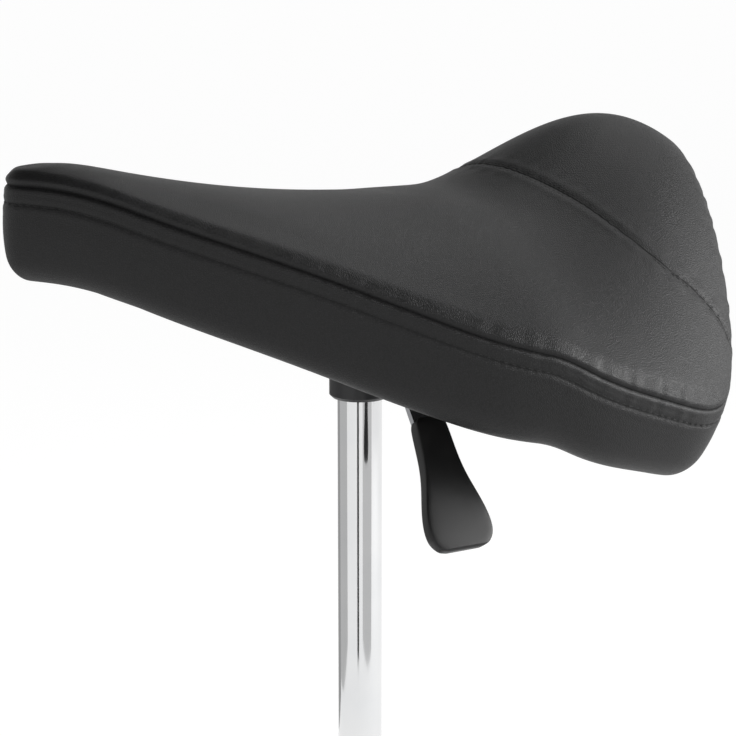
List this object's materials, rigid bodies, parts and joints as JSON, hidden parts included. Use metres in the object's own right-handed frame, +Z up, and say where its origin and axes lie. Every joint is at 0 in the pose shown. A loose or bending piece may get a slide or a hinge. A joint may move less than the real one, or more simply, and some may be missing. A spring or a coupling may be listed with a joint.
{
  "type": "saddle stool",
  "caption": "Wheeled work stool with an arched saddle seat, paddle lever, gas lift and star base on castors.",
  "frame": {"origin": "on the floor, on the axis of the column, midway between the five castor stems", "axes": "+Z up along the column; the narrow nose of the saddle points to -Y and the high cantle to +Y; the release lever is on the +X side"},
  "size_m": [0.5771, 0.5611, 0.7397],
  "materials": {
    "cover": "black leatherette, fine grain, satin",
    "foam": "moulded foam",
    "plywood": "moulded plywood",
    "lining": "thin black cloth",
    "black_steel": "black paint, satin",
    "zinc_steel": "zinc plated",
    "chrome_tube": "polished",
    "black_plastic": "moulded, fine texture",
    "brass": "machined",
    "seal_rubber": "matt",
    "piston_metal": "machined",
    "cast_base": "cast and polished",
    "castor_plastic": "moulded nylon",
    "stem_steel": "turned"
  },
  "bodies": {
    "base": {"star_base": "cast_base", "column_tube": "black_steel", "guide_bush": "black_plastic", "bearing_race_lower": "zinc_steel", "bearing_balls": "zinc_steel", "castor_stems": "stem_steel"},
    "lift_rod": {"piston_rod": "zinc_steel", "piston": "piston_metal", "piston_seal": "seal_rubber", "bearing_race_upper": "zinc_steel", "retaining_clip": "zinc_steel", "rubber_buffer": "seal_rubber"},
    "seat": {"gas_cylinder": "chrome_tube", "end_guide": "black_plastic", "inner_tube": "zinc_steel", "valve_body": "brass", "taper_socket": "black_steel", "mounting_plate": "black_steel", "seat_bolts": "zinc_steel", "bolt_washers": "zinc_steel", "tee_nuts": "zinc_steel", "lever_pivot_pin": "zinc_steel", "seat_pan": "plywood", "seat_foam": "foam", "seat_cover_front_panel": "cover", "seat_cover_rear_panel": "cover", "seat_cover_side_band": "cover", "dust_cover": "lining"},
    "lever": {"lever_arm": "zinc_steel", "lever_paddle": "black_plastic"},
    "valve_pin": {"release_pin": "zinc_steel"},
    "castor_1": {"castor_1_hood": "castor_plastic", "castor_1_axle": "stem_steel"},
    "castor_1_wheel_left_body": {"castor_1_wheel_left": "castor_plastic"},
    "castor_1_wheel_right_body": {"castor_1_wheel_right": "castor_plastic"},
    "castor_2": {"castor_2_hood": "castor_plastic", "castor_2_axle": "stem_steel"},
    "castor_2_wheel_left_body": {"castor_2_wheel_left": "castor_plastic"},
    "castor_2_wheel_right_body": {"castor_2_wheel_right": "castor_plastic"},
    "castor_3": {"castor_3_hood": "castor_plastic", "castor_3_axle": "stem_steel"},
    "castor_3_wheel_left_body": {"castor_3_wheel_left": "castor_plastic"},
    "castor_3_wheel_right_body": {"castor_3_wheel_right": "castor_plastic"},
    "castor_4": {"castor_4_hood": "castor_plastic", "castor_4_axle": "stem_steel"},
    "castor_4_wheel_left_body": {"castor_4_wheel_left": "castor_plastic"},
    "castor_4_wheel_right_body": {"castor_4_wheel_right": "castor_plastic"},
    "castor_5": {"castor_5_hood": "castor_plastic", "castor_5_axle": "stem_steel"},
    "castor_5_wheel_left_body": {"castor_5_wheel_left": "castor_plastic"},
    "castor_5_wheel_right_body": {"castor_5_wheel_right": "castor_plastic"}
  },
  "joints": [
    {"name": "seat_swivel", "type": "hinge", "parent": "base", "child": "lift_rod", "pos_m": [0, 0, 0.0605], "axis": [0, 0, 1], "continuous": true},
    {"name": "seat_height", "type": "slide", "parent": "lift_rod", "child": "seat", "axis": [0, 0, 1], "range_m": [-0.2, 0]},
    {"name": "lever_lift", "type": "hinge", "parent": "seat", "child": "lever", "pos_m": [0.025, 0, 0.6231], "axis": [0, -1, 0], "range_deg": [0, 8], "stiffness_Nm_per_rad": 0.5, "springref_deg": -5.73},
    {"name": "pin_press", "type": "slide", "parent": "seat", "child": "valve_pin", "axis": [0, 0, -1], "range_m": [0, 0.0038]},
    {"name": "castor_1_swivel", "type": "hinge", "parent": "base", "child": "castor_1", "pos_m": [0, -0.27, 0.0593], "axis": [0, 0, 1], "continuous": true},
    {"name": "castor_1_roll_left", "type": "hinge", "parent": "castor_1", "child": "castor_1_wheel_left_body", "pos_m": [-0.02068, -0.27365, 0.025], "axis": [-0.1736, 0.9848, 0], "continuous": true},
    {"name": "castor_1_roll_right", "type": "hinge", "parent": "castor_1", "child": "castor_1_wheel_right_body", "pos_m": [-0.02068, -0.27365, 0.025], "axis": [-0.1736, 0.9848, 0], "continuous": true},
    {"name": "castor_2_swivel", "type": "hinge", "parent": "base", "child": "castor_2", "pos_m": [0.25678, -0.08343, 0.0593], "axis": [0, 0, 1], "continuous": true},
    {"name": "castor_2_roll_left", "type": "hinge", "parent": "castor_2", "child": "castor_2_wheel_left_body", "pos_m": [0.24168, -0.09802, 0.025], "axis": [-0.6947, 0.7193, 0], "continuous": true},
    {"name": "castor_2_roll_right", "type": "hinge", "parent": "castor_2", "child": "castor_2_wheel_right_body", "pos_m": [0.24168, -0.09802, 0.025], "axis": [-0.6947, 0.7193, 0], "continuous": true},
    {"name": "castor_3_swivel", "type": "hinge", "parent": "base", "child": "castor_3", "pos_m": [0.1587, 0.21843, 0.0593], "axis": [0, 0, 1], "continuous": true},
    {"name": "castor_3_roll_left", "type": "hinge", "parent": "castor_3", "child": "castor_3_wheel_left_body", "pos_m": [0.1795, 0.21551, 0.025], "axis": [-0.1392, -0.9903, 0], "continuous": true},
    {"name": "castor_3_roll_right", "type": "hinge", "parent": "castor_3", "child": "castor_3_wheel_right_body", "pos_m": [0.1795, 0.21551, 0.025], "axis": [-0.1392, -0.9903, 0], "continuous": true},
    {"name": "castor_4_swivel", "type": "hinge", "parent": "base", "child": "castor_4", "pos_m": [-0.1587, 0.21843, 0.0593], "axis": [0, 0, 1], "continuous": true},
    {"name": "castor_4_roll_left", "type": "hinge", "parent": "castor_4", "child": "castor_4_wheel_left_body", "pos_m": [-0.1391, 0.22596, 0.025], "axis": [0.3584, -0.9336, 0], "continuous": true},
    {"name": "castor_4_roll_right", "type": "hinge", "parent": "castor_4", "child": "castor_4_wheel_right_body", "pos_m": [-0.1391, 0.22596, 0.025], "axis": [0.3584, -0.9336, 0], "continuous": true},
    {"name": "castor_5_swivel", "type": "hinge", "parent": "base", "child": "castor_5", "pos_m": [-0.25678, -0.08343, 0.0593], "axis": [0, 0, 1], "continuous": true},
    {"name": "castor_5_roll_left", "type": "hinge", "parent": "castor_5", "child": "castor_5_wheel_left_body", "pos_m": [-0.26499, -0.0641, 0.025], "axis": [0.9205, 0.3907, 0], "continuous": true},
    {"name": "castor_5_roll_right", "type": "hinge", "parent": "castor_5", "child": "castor_5_wheel_right_body", "pos_m": [-0.26499, -0.0641, 0.025], "axis": [0.9205, 0.3907, 0], "continuous": true}
  ],
  "couplings": [
    {"joint": "pin_press", "follows": "lever_lift", "m_per_rad": 0.0265}
  ]
}
